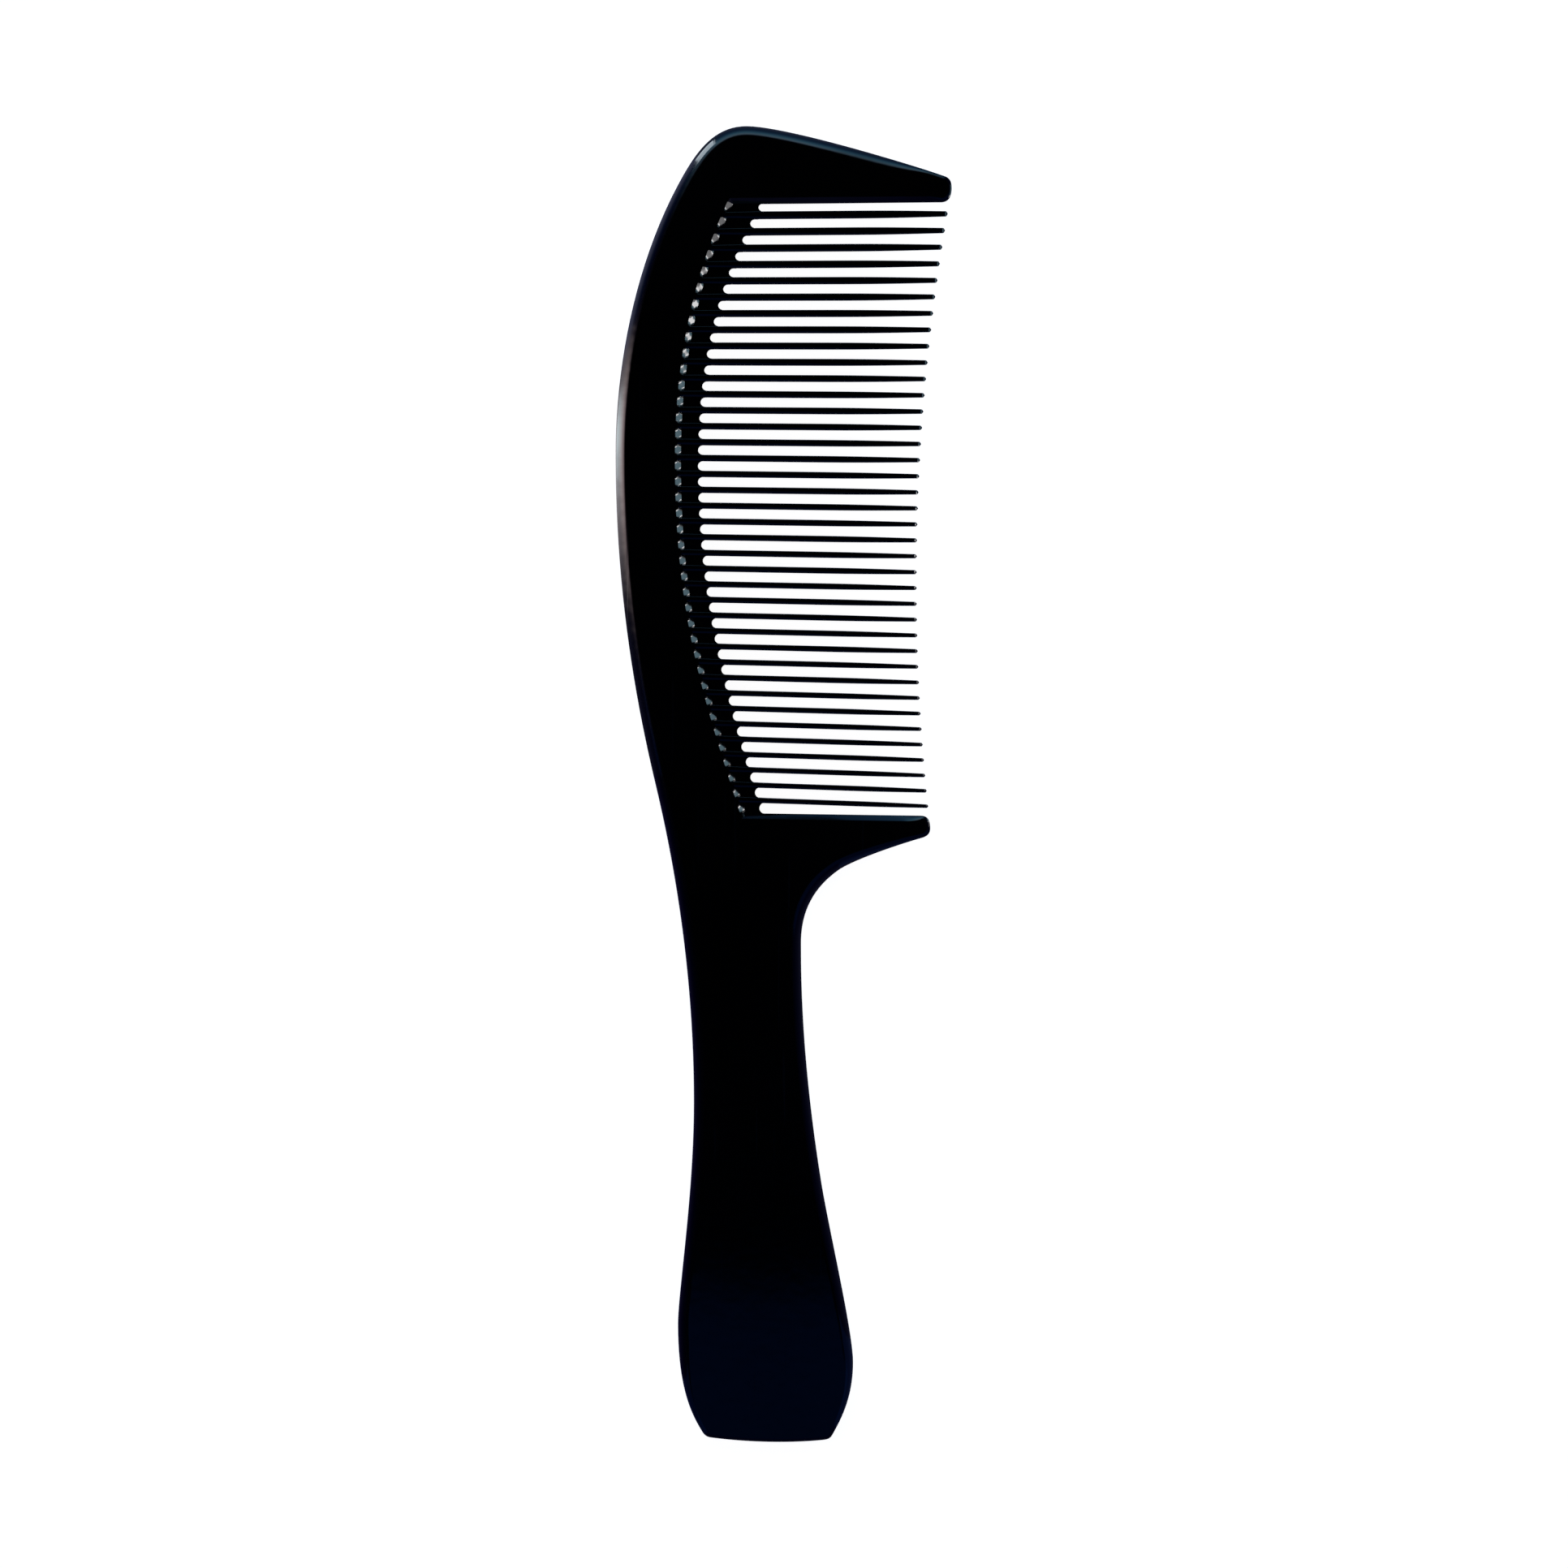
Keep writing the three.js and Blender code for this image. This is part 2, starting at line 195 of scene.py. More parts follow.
@dataclass(frozen=True)
class GlossBlackPlastic(Finish):
    """Injection-moulded black plastic, polished by the mould and lightly handled."""

    name: str = "gloss_black_plastic"
    deep: Triple = (0.0003, 0.0003, 0.0004)
    bloom: Triple = (0.0009, 0.0009, 0.0012)
    refraction: float = 1.5
    polish: float = 0.05
    haze_cells: float = 70.0
    hand_haze: float = 0.05
    flow_cells: float = 160.0
    flow_stretch: Triple = (9, 1, 9)
    flow_haze: float = 0.03
    peel_cells: float = 420.0
    peel_depth: float = 0.012 * MM
    scratch_cells: float = 1500.0
    scratch_stretch: Triple = (1.0, 0.02, 0.02)
    scratch_turns: Triple = (12.0, 74.0, 131.0)
    scratch_threshold: tuple[float, float] = (0.73, 0.77)
    scratch_strength: float = 0.6
    scratch_haze: float = 0.16
    scratch_depth: float = 0.004 * MM

    def paint(self, graph: Graph) -> None:
        """Adds haze, flow marks, mould ripple and scratches to black plastic.

        Args:
            graph: the material's graph.
        """
        place = graph.add("ShaderNodeTexCoord")[3]
        haze = self._noise(graph, place, (1, 1, 1), self.haze_cells, 3.0)
        flow = self._noise(graph, place, self.flow_stretch, self.flow_cells, 2.0)
        peel = self._noise(graph, place, (1, 1, 1), self.peel_cells, 1.0)
        scratch = self._scratches(graph, place)
        rough = haze * self.hand_haze + self.polish + flow * self.flow_haze
        height = peel * self.peel_depth - scratch * self.scratch_depth
        inputs = {"Strength": 1.0, "Distance": 1.0, "Height": height}
        bump = graph.add("ShaderNodeBump", inputs)[0]
        graph.surface({
            "Base Color": graph.mix(haze, (*self.deep, 1.0), (*self.bloom, 1.0)),
            "Roughness": rough + scratch * self.scratch_haze,
            "Normal": bump,
            "IOR": self.refraction,
        })

    @staticmethod
    def _noise(graph: Graph, place: Wire, stretch: Triple, scale: float, detail: float,
               turn: float = 0.0) -> Wire:
        """Adds a noise that may be stretched along an axis and turned about Z.

        Args:
            graph: the material's graph.
            place: object coordinates.
            stretch: scale along each axis.
            scale: how many cells to the metre.
            detail: octaves of finer noise.
            turn: degrees.

        Returns:
            The noise, from 0 to 1.
        """
        turned = {"Vector": place, "Rotation": (0.0, 0.0, math.radians(turn)), "Scale": stretch}
        mapped = graph.add("ShaderNodeMapping", turned)[0]
        inputs = {"Vector": mapped, "Scale": scale, "Detail": detail}
        return graph.add("ShaderNodeTexNoise", inputs)[0]

    def _scratches(self, graph: Graph, place: Wire) -> Wire:
        """Adds hairline handling scratches in three directions.

        Args:
            graph: the material's graph.
            place: object coordinates.

        Returns:
            The strength of the scratches, 0 beside them.
        """
        clear, scratched = self.scratch_threshold
        total: Any = 0.0
        for turn in self.scratch_turns:
            noise = self._noise(
                graph, place, self.scratch_stretch, self.scratch_cells, 1.0, turn)
            thin = graph.ramp([(clear, 0.0), (scratched, 1.0)], noise)
            total = thin * self.scratch_strength + total
        return total


@dataclass(frozen=True)
class StudioPaper(Finish):
    """Matt paper of the studio, which glows evenly white."""

    name: str = "white_sweep"
    diffuse: float = 0.35
    glow: float = 0.97

    def paint(self, graph: Graph) -> None:
        """Makes the surface matt and lets it glow."""
        graph.surface({
            "Base Color": (self.diffuse, self.diffuse, self.diffuse, 1.0),
            "Roughness": 1.0,
            "Specular IOR Level": 0.0,
            "Emission Color": self.colour(graph),
            "Emission Strength": self.glow,
        })

    def colour(self, _graph: Graph) -> Any:
        """Returns the colour of the glow."""
        return (1.0, 1.0, 1.0, 1.0)


@dataclass(frozen=True)
class FlagCloth(StudioPaper):
    """Dark cloth of the flag, which glows faintly navy low down. Foot and span in metres."""

    name: str = "flag_cloth"
    diffuse: float = 0.0
    glow: float = 1.0
    foot: float = -0.03
    span: float = 0.1
    stops: Stops = (
        (0.0, (0.030, 0.024, 0.12)), (0.3, (0.030, 0.024, 0.12)), (0.435, (0.008, 0.003, 0.08)),
        (0.6, (0.0, 0.002, 0.045)), (1.0, (0.0, 0.001, 0.015)),
    )

    def colour(self, graph: Graph) -> Any:
        """Adds the fade from navy to black.

        Args:
            graph: the material's graph.

        Returns:
            The colour of the glow.
        """
        place = graph.add("ShaderNodeTexCoord")[3]
        height = graph.add("ShaderNodeSeparateXYZ", {"Vector": place})[2]
        return graph.ramp(self.stops, (height - self.foot) * (1.0 / self.span))


# ---- the bench


class Part(Enum):
    """Kinds of mesh element that can be selected, each with its select mode."""

    VERTS = ("verts", (True, False, False))
    EDGES = ("edges", (False, True, False))
    FACES = ("faces", (False, False, True))


class Bench:
    """The few hand operations that all the pieces are made with."""

    @staticmethod
    def take(piece: Object) -> None:
        """Makes a piece the only selected one and the active one.

        Args:
            piece: the piece, in object mode.
        """
        bpy.ops.object.select_all(action="DESELECT")
        piece.select_set(True)
        bpy.context.view_layer.objects.active = piece

    @staticmethod
    def open(piece: Object) -> None:
        """Takes a piece and opens it for editing."""
        Bench.take(piece)
        bpy.ops.object.mode_set(mode="EDIT")

    @staticmethod
    def close() -> None:
        """Ends editing."""
        bpy.ops.object.mode_set(mode="OBJECT")

    @staticmethod
    def turn_faces_outwards() -> None:
        """Selects all of the mesh being edited and points its faces outwards."""
        bpy.ops.mesh.select_all(action="SELECT")
        bpy.ops.mesh.normals_make_consistent(inside=False)

    @staticmethod
    def copy(model: Object) -> Object:
        """Copies a model.

        Args:
            model: the model, in object mode.

        Returns:
            The copy, with a mesh of its own.
        """
        Bench.take(model)
        bpy.ops.object.duplicate()
        return bpy.context.object

    @staticmethod
    def select(piece: Object, part: Part, wanted: Callable[[Any], bool]) -> None:
        """Selects elements of the piece being edited, by a rule.

        Args:
            piece: the piece, in edit mode.
            part: verts, edges or faces.
            wanted: says of each element whether it is selected.
        """
        kind, bpy.context.tool_settings.mesh_select_mode = part.value
        bpy.ops.mesh.select_all(action="DESELECT")
        mesh = bmesh.from_edit_mesh(piece.data)
        for element in [each for each in getattr(mesh, kind) if wanted(each)]:
            element.select_set(True)
        bmesh.update_edit_mesh(piece.data)

    @staticmethod
    def reshape(piece: Object, move: Callable[[Vector], Vector]) -> None:
        """Moves every vertex of a piece.

        Args:
            piece: the piece, in object mode.
            move: gives each vertex its new place.
        """
        for vertex in piece.data.vertices:
            vertex.co = move(vertex.co.copy())
        piece.data.update()

    @staticmethod
    def modifier(piece: Object, kind: str, **settings: Any) -> None:
        """Adds a modifier to a piece and applies it.

        Args:
            piece: the piece, in object mode.
            kind: the modifier's type.
            **settings: the modifier's properties.
        """
        Bench.take(piece)
        bpy.ops.object.modifier_add(type=kind)
        added = piece.modifiers[-1]
        for name, value in settings.items():
            setattr(added, name, value)
        bpy.ops.object.modifier_apply(modifier=added.name)

    @staticmethod
    def finish(piece: Object, name: str, material: Material,
               smooth_degrees: float, replaced: Sequence[str]) -> Object:
        """Names, dresses and declares a finished piece.

        Args:
            piece: the piece, at the origin with its place in its mesh.
            name: its new name.
            material: its material.
            smooth_degrees: edges flatter than this shade smoothly.
            replaced: the CAD nodes it stands for.

        Returns:
            The piece.
        """
        piece.name = piece.data.name = name
        piece.data.materials.append(material)
        Bench.take(piece)
        bpy.ops.object.shade_smooth_by_angle(angle=math.radians(smooth_degrees))
        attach(piece, BODY)
        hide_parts(*replaced)
        LOG.info("%s: %d faces", name, len(piece.data.polygons))
        return piece


# ---- outlines


@dataclass(frozen=True)
class Bend:
    """One cubic stretch of an outline, in millimetres."""

    start: Point
    leaving: Point
    arriving: Point
    end: Point

    def at(self, share: float) -> Point:
        """Finds a point of the stretch.

        Args:
            share: 0 at the start, 1 at the end.

        Returns:
            The point.
        """
        rest = 1.0 - share
        weights = (rest ** 3, 3 * rest * rest * share, 3 * rest * share * share, share ** 3)
        corners = (self.start, self.leaving, self.arriving, self.end)
        return (
            sum(weight * corner[0] for weight, corner in zip(weights, corners)),
            sum(weight * corner[1] for weight, corner in zip(weights, corners)),
        )

    def share_at(self, y: float) -> float:
        """Finds where a climbing stretch passes a height, by halving.

        Args:
            y: the height, in millimetres.

        Returns:
            The share of the stretch below it.
        """
        low, high = 0.0, 1.0
        for _ in range(30):
            middle = (low + high) / 2
            if self.at(middle)[1] < y:
                low = middle
            else:
                high = middle
        return low

    def part(self, first: float, last: float) -> "Bend":
        """Cuts out the piece of the stretch between two shares.

        Args:
            first: share where the piece starts.
            last: share where it ends.

        Returns:
            The piece, as a stretch of its own.
        """
        corners = [Vector(corner) for corner in (self.start, self.leaving, self.arriving, self.end)]
        run = last - first
        begin, finish = Vector(self.at(first)), Vector(self.at(last))
        leaving = begin + self._speed(corners, first) * (run / 3)
        arriving = finish - self._speed(corners, last) * (run / 3)
        return Bend(*(tuple(point) for point in (begin, leaving, arriving, finish)))

    @staticmethod
    def _speed(corners: Sequence[Vector], share: float) -> Vector:
        """Works out how fast the point moves along a stretch.

        Args:
            corners: the stretch's four corners.
            share: where on the stretch.

        Returns:
            The change of place for a change of share.
        """
        rest = 1.0 - share
        first, second, third = (corners[at + 1] - corners[at] for at in range(3))
        return 3 * (first * rest * rest + second * 2 * rest * share + third * share * share)


def straight(start: Point, end: Point) -> Bend:
    """Returns a straight stretch."""
    dx, dy = ((end[axis] - start[axis]) / 3 for axis in (0, 1))
    return Bend(start, (start[0] + dx, start[1] + dy), (end[0] - dx, end[1] - dy), end)


OUTER = (
    # Apex of the head, then down the bowed back
    Bend((-6.0, 107.4), (-11.7, 107.4), (-14.6, 102.6), (-17.2, 97.8)),
    Bend((-17.2, 97.8), (-24.4, 84.3), (-27.4, 67.7), (-27.4, 53.5)),
    Bend((-27.4, 53.5), (-27.4, 33.7), (-24.7, 16.1), (-21.0, 0.5)),
    # Waist and handle
    Bend((-21.0, 0.5), (-16.7, -17.3), (-14.6, -34.9), (-14.6, -52.0)),
    Bend((-14.6, -52.0), (-14.6, -67.0), (-17.2, -83.0), (-17.2, -88.2)),
    Bend((-17.2, -88.2), (-17.2, -99.0), (-14.8, -103.2), (-13.2, -105.8)),
    # Handle end
    Bend((-13.2, -105.8), (-12.9, -106.3), (-12.5, -106.6), (-11.9, -106.7)),
    Bend((-11.9, -106.7), (-6.0, -107.5), (1.0, -107.67), (6.6, -107.1)),
    Bend((6.6, -107.1), (7.4, -107.0), (7.7, -106.8), (8.0, -106.3)),
    # Up the finger side of the handle and round the throat
    Bend((8.0, -106.3), (9.4, -103.8), (11.4, -100.2), (11.4, -94.4)),
    Bend((11.4, -94.4), (11.4, -89.6), (7.6, -73.3), (6.3, -65.6)),
    Bend((6.3, -65.6), (4.2, -52.7), (2.9, -39.6), (2.9, -26.9)),
    Bend((2.9, -26.9), (2.9, -24.6), (2.6, -18.6), (9.0, -14.1)),
    Bend((9.0, -14.1), (11.4, -12.4), (19.2, -9.8), (22.4, -8.9)),
    # Lower guard tip
    Bend((22.4, -8.9), (23.5, -8.6), (24.0, -8.2), (24.0, -7.2)),
    Bend((24.0, -7.2), (24.0, -5.8), (23.5, -5.2), (22.4, -5.2)),
)
FIELD = (
    # Border of the tooth field: lower guard's edge, back, top guard's edge
    straight((22.4, -5.2), (-6.0, -4.8)),
    Bend((-6.0, -4.8), (-11.8, 13.7), (-16.65, 27.0), (-16.65, 53.0)),
    Bend((-16.65, 53.0), (-16.65, 67.0), (-14.4, 81.0), (-8.1, 94.7)),
    straight((-8.1, 94.7), (25.8, 95.0)),
)
HEAD = (
    # Top guard tip and the long top edge
    Bend((25.8, 95.0), (27.1, 95.05), (27.5, 96.0), (27.5, 97.3)),
    Bend((27.5, 97.3), (27.5, 98.5), (27.1, 99.0), (26.1, 99.3)),
    Bend((26.1, 99.3), (19.5, 101.6), (0.1, 107.4), (-6.0, 107.4)),
)
SLOT_ENDS = (
    # Line through the deepest points of the slots between the teeth
    Bend((-3.85, -3.98), (-9.1, 13.2), (-13.9, 29.5), (-13.9, 51.5)),
    Bend((-13.9, 51.5), (-13.9, 65.5), (-12.1, 79.2), (-4.0, 94.1)),
)


def x_on(bends: Sequence[Bend], y: float) -> float:
    """Finds where a line that climbs in Y passes a height.

    Args:
        bends: the line's stretches, from low to high.
        y: the height, which is held to the line's ends.

    Returns:
        The line's X there.
    """
    y = min(max(y, bends[0].start[1]), bends[-1].end[1])
    bend = next(each for each in bends if y <= each.end[1])
    return bend.at(bend.share_at(y))[0]


def cut_at(bends: Sequence[Bend], heights: Sequence[float]) -> list[Bend]:
    """Cuts a climbing line into shorter stretches.

    Args:
        bends: the line's stretches, from low to high.
        heights: the Y of each cut, from low to high.

    Returns:
        The shorter stretches, in the same order.
    """
    pieces = []
    for bend in bends:
        inside = [height for height in heights if bend.start[1] < height < bend.end[1]]
        shares = [0.0, *(bend.share_at(height) for height in inside), 1.0]
        pieces += [bend.part(first, last) for first, last in zip(shares, shares[1:])]
    return pieces


# ---- tooth places


@dataclass(frozen=True)
class ToothPlace:
    """Where one tooth lies, read from its CAD node. Millimetres."""

    tip_x: float
    tip_y: float
    slope: float
    width: float

    @classmethod
    def of(cls, node: str) -> "ToothPlace":
        """Reads a tooth's place from its node.

        Args:
            node: the node's name.

        Returns:
            The tooth's place.
        """
        corners = [vertex.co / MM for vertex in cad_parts[node].data.vertices]
        low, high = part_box(node)
        root = [corner for corner in corners if corner.x < low.x / MM + TOUCH]
        tip = [corner for corner in corners if corner.x > high.x / MM - TOUCH]
        root_y = sum(corner.y for corner in root) / len(root)
        tip_y = sum(corner.y for corner in tip) / len(tip)
        width = max(corner.y for corner in root) - min(corner.y for corner in root)
        slope = (tip_y - root_y) / ((high.x - low.x) / MM)
        return cls(high.x / MM, tip_y, slope, width)

    def centre(self, x: float) -> float:
        """Returns the Y of the tooth's middle at an X."""
        return self.tip_y - self.slope * (self.tip_x - x)

    def border_x(self) -> float:
        """Returns the X at which the tooth meets the back's border."""
        return x_on(FIELD[1:3], self.centre(NEAR_BORDER_X))


def tooth_places() -> list[ToothPlace]:
    """Returns where each tooth lies, from the head down."""
    return [ToothPlace.of(f"tooth_{number:02d}") for number in range(1, TOOTH_COUNT + 1)]


# ---- body


@dataclass
class CombBody:
    """Handle, back and both guards: one plate with shaped edges that thins to its ends."""

    thickness: float
    material: Material
    steps: int = 20
    rim_steps: int = 9
    edge_radius: float = 1.8
    top_guard_hold: float = 4.0
    guard_tip_radius: float = 0.7
    handle_end_radius: float = 0.85
    web_height: float = 1.5
    wall_width: float = 0.9
    slope_swell: float = 0.05
    scoop_centre: float = 0.54
    scoop_width: float = 0.98
    scoop_share: float = 0.76
    low_scoop_width: float = 0.94
    low_scoop_share: float = 0.64
    scoop_squareness: float = 2.8
    rib_wall_width: float = 0.3
    grid: float = 5.0
    guard_root: Point = (6.0, -26.0)
    guard_round_run: float = 17.0
    end_round_y: float = -92.0
    end_round_run: float = 13.0
    guard_tip_share: float = 0.5
    top_guard_y: float = 90.0
    top_guard_thin_run: float = 27.5
    lower_guard_thin_run: float = 18.0
    handle_end_share: float = 0.71
    end_thin_y: float = -76.0
    end_thin_run: float = 31.4
    end_middle_x: float = -2.9
    end_half_width: float = 14.0
    end_crown: float = 0.25
    ease_start: float = 0.35
    seam: float = 1e-6
    smooth_degrees: float = 24.0
    _crossings: list[float] = field(init=False)
    _base: list[Vector] = field(init=False)
    _inward: list[Vector] = field(init=False)
    _border: range = field(init=False)
    _numbers: dict[tuple[int, int], int] = field(init=False)

    def build(self) -> Object:
        """Models the body.

        Returns:
            The finished body.
        """
        piece = self._outline()
        Bench.open(piece)
        bpy.ops.mesh.select_all(action="SELECT")
        for step in range(self.rim_steps + 1):
            self._raise_rim(piece, step / self.rim_steps)
        bpy.ops.mesh.edge_face_add()
        self._lay_grid(piece)
        Bench.close()
        Bench.reshape(piece, self._thin)
        Bench.modifier(piece, "MIRROR", use_axis=(False, False, True), merge_threshold=self.seam)
        Bench.open(piece)
        bpy.ops.mesh.select_all(action="SELECT")
        bpy.ops.mesh.remove_doubles(threshold=WELD)
        Bench.turn_faces_outwards()
        bpy.ops.transform.translate(value=(0.0, 0.0, self.thickness / 2 * MM))
        Bench.close()
        nodes = ("handle", "handle_end", "back", "top_guard", "lower_guard")
        Bench.finish(piece, "comb_body", self.material, self.smooth_degrees, nodes)
        Bench.modifier(piece, "WEIGHTED_NORMAL", keep_sharp=True, weight=60)
        return piece

    def _outline(self) -> Object:
        """Draws the outline as one closed curve and notes how each point's edge is finished.

        Returns:
            The outline, as a loop of edges.
        """
        self._crossings = sorted(place.centre(place.border_x()) for place in tooth_places())
        border = [FIELD[0], *cut_at(FIELD[1:3], self._crossings), FIELD[3]]
        bends = [*OUTER, *border, *HEAD]
        bpy.ops.curve.primitive_bezier_curve_add()
        drawn = bpy.context.object
        spline = drawn.data.splines[0]
        spline.bezier_points.add(len(bends) - 2)
        spline.use_cyclic_u = True
        drawn.data.dimensions = "2D"
        drawn.data.fill_mode = "NONE"
        drawn.data.resolution_u = self.steps
        for number, bend in enumerate(bends):
            knot = spline.bezier_points[number]
            knot.handle_left_type = knot.handle_right_type = "FREE"
            knot.co = self._flat(bend.start)
            knot.handle_left = self._flat(bends[number - 1].arriving)
            knot.handle_right = self._flat(bend.leaving)
        bpy.ops.object.convert(target="MESH")
        piece = bpy.context.object
        self._base = [vertex.co.to_2d() for vertex in piece.data.vertices]
        self._inward = self._inward_at(self._base)
        self._numbers = {self._key(point): number for number, point in enumerate(self._base)}
        first = len(OUTER) * self.steps
        self._border = range(first + 1, first + len(border) * self.steps)
        return piece

    @staticmethod
    def _flat(point: Point) -> Vector:
        """Returns a plan point in metres, on the middle plane."""
        return Vector((point[0] * MM, point[1] * MM, 0.0))

    @staticmethod
    def _inward_at(points: Sequence[Vector]) -> list[Vector]:
        """Gives each point of a loop its inward direction.

        Args:
            points: the loop, counter-clockwise.

        Returns:
            For each point, the move that takes both its edges in by one unit.
        """
        directions = []
        for number, point in enumerate(points):
            before = (point - points[number - 1]).normalized()
            after = (points[(number + 1) % len(points)] - point).normalized()
            turn = Vector((-before.y - after.y, before.x + after.x))
            directions.append(turn / (1.0 + before.dot(after)))
        return directions

    def _radius_at(self, place: Vector) -> float:
        """Finds the edge rounding, which is smaller at the guard tips and the handle's end.

        Args:
            place: the outline point, in metres.

        Returns:
            The radius, in millimetres.
        """
        x, y = place.x / MM, place.y / MM
        root_x, root_y = self.guard_root
        if y > root_y:
            share = min(max((x - root_x) / self.guard_round_run, 0.0), 1.0)
            if y > 0.0:
                share = share ** self.top_guard_hold
            return self.edge_radius + (self.guard_tip_radius - self.edge_radius) * share
        share = min(max((self.end_round_y - y) / self.end_round_run, 0.0), 1.0)
        return self.edge_radius + (self.handle_end_radius - self.edge_radius) * share

    def _rim_point(self, number: int, share: float) -> tuple[float, float]:
        """Gives the section of the edge: a slope down to the web, or a rounding.

        Args:
            number: which point of the outline.
            share: 0 at the side of the edge, 1 where the flat face begins.

        Returns:
            How far in and how far above the middle plane, in millimetres.
        """
        half = self.thickness / 2
        if number in self._border:
            rise = share * (1.0 - self.slope_swell * (1.0 - share))
            foot, top = self._border_slope(self._base[number].y / MM)
            return foot + (top - foot) * share, self.web_height + (half - self.web_height) * rise
        radius = self._radius_at(self._base[number])
        angle = share * math.pi / 2
        return radius * (1 - math.cos(angle)), half - radius * (1 - math.sin(angle))

    def _border_slope(self, y: float) -> tuple[float, float]:
        """Gives the place of the border's slope: wide in each scoop, narrow at each rib.

        Args:
            y: the border point's Y.

        Returns:
            How far in from the border its foot and its top lie.
        """
        low, high = FIELD[1].start[1], FIELD[2].end[1]
        if y <= low + TOUCH or y >= high - TOUCH:
            return 0.0, self.wall_width
        first, second, *_, last = self._crossings
        pitch = second - first
        stops = [first - pitch, *self._crossings, last + pitch]
        gap = next(number for number in range(len(stops) - 1) if y <= stops[number + 1])
        middle = (stops[gap] + stops[gap + 1]) / 2
        half = (stops[gap + 1] - stops[gap]) / 2
        climb = (middle - low) / (high - low)
        share = self.low_scoop_share + (self.scoop_share - self.low_scoop_share) * climb
        deep = self.low_scoop_width + (self.scoop_width - self.low_scoop_width) * climb
        away = abs(y - middle) / (half * share)
        power = self.scoop_squareness
        swell = (1.0 - min(away, 1.0) ** power) ** (1.0 / power)
        reach = (self.rib_wall_width + (deep - self.rib_wall_width) * swell) / 2
        return self.scoop_centre - reach, self.scoop_centre + reach

    def _raise_rim(self, piece: Object, share: float) -> None:
        """Extrudes the open loop once more and shapes the new loop.

        Args:
            piece: the body, in edit mode, with its last loop selected.
            share: how far along the edge's section the new loop lies.
        """
        bpy.ops.mesh.extrude_edges_move(TRANSFORM_OT_translate={"value": (0.0, 0.0, MM)})
        last, self._numbers = self._numbers, {}
        for vertex in bmesh.from_edit_mesh(piece.data).verts:
            if vertex.select:
                number = last[self._key(vertex.co)]
                inset, height = self._rim_point(number, share)
                place = self._base[number] + self._inward[number] * inset * MM
                vertex.co = (place.x, place.y, height * MM)
                self._numbers[self._key(vertex.co)] = number
        bmesh.update_edit_mesh(piece.data)

    @staticmethod
    def _key(place: Vector) -> tuple[int, int]:
        """Returns a plan place rounded to a hundred-thousandth of a millimetre."""
        return round(place.x * 1e8), round(place.y * 1e8)

    def _lay_grid(self, piece: Object) -> None:
        """Cuts the flat face into a grid, so that it can be thinned smoothly.

        Args:
            piece: the body, in edit mode.
        """
        low, high = CAD_BOX
        for axis, normal in enumerate((Vector((1, 0, 0)), Vector((0, 1, 0)))):
            lines = int((high[axis] - low[axis]) / (self.grid * MM))
            for line in range(1, lines + 1):
                place = low[axis] + (line - 0.5) * self.grid * MM
                Bench.select(piece, Part.FACES, lambda face: abs(face.normal.z) > FLAT)
                bpy.ops.mesh.bisect(plane_co=normal * place, plane_no=normal)

    def _thin(self, place: Vector) -> Vector:
        """Thins the plate towards the guard tips and the handle's end.

        Args:
            place: a vertex, in metres above the middle plane.

        Returns:
            The vertex's new place.
        """
        x, y = place.x / MM, place.y / MM
        root_x, root_y = self.guard_root
        guard_loss = 1 - self.guard_tip_share
        loss = 0.0
        if y > self.top_guard_y and x > 0.0:
            loss = guard_loss * self._ease(x / self.top_guard_thin_run)
        elif root_y < y < 0.0 and x > root_x:
            loss = guard_loss * self._ease((x - root_x) / self.lower_guard_thin_run)
        elif y < self.end_thin_y:
            crown = 1.0 + self.end_crown * ((x - self.end_middle_x) / self.end_half_width) ** 2
            run = self._ease((self.end_thin_y - y) / self.end_thin_run)
            loss = (1 - self.handle_end_share) * run * crown
        place.z *= 1.0 - loss
        return place

    def _ease(self, share: float) -> float:
        """Returns a share that starts gently and then runs straight."""
        half = self.ease_start / 2
        return (share * share / (4 * half) if share < 2 * half else share - half) / (1 - half)


# ---- teeth


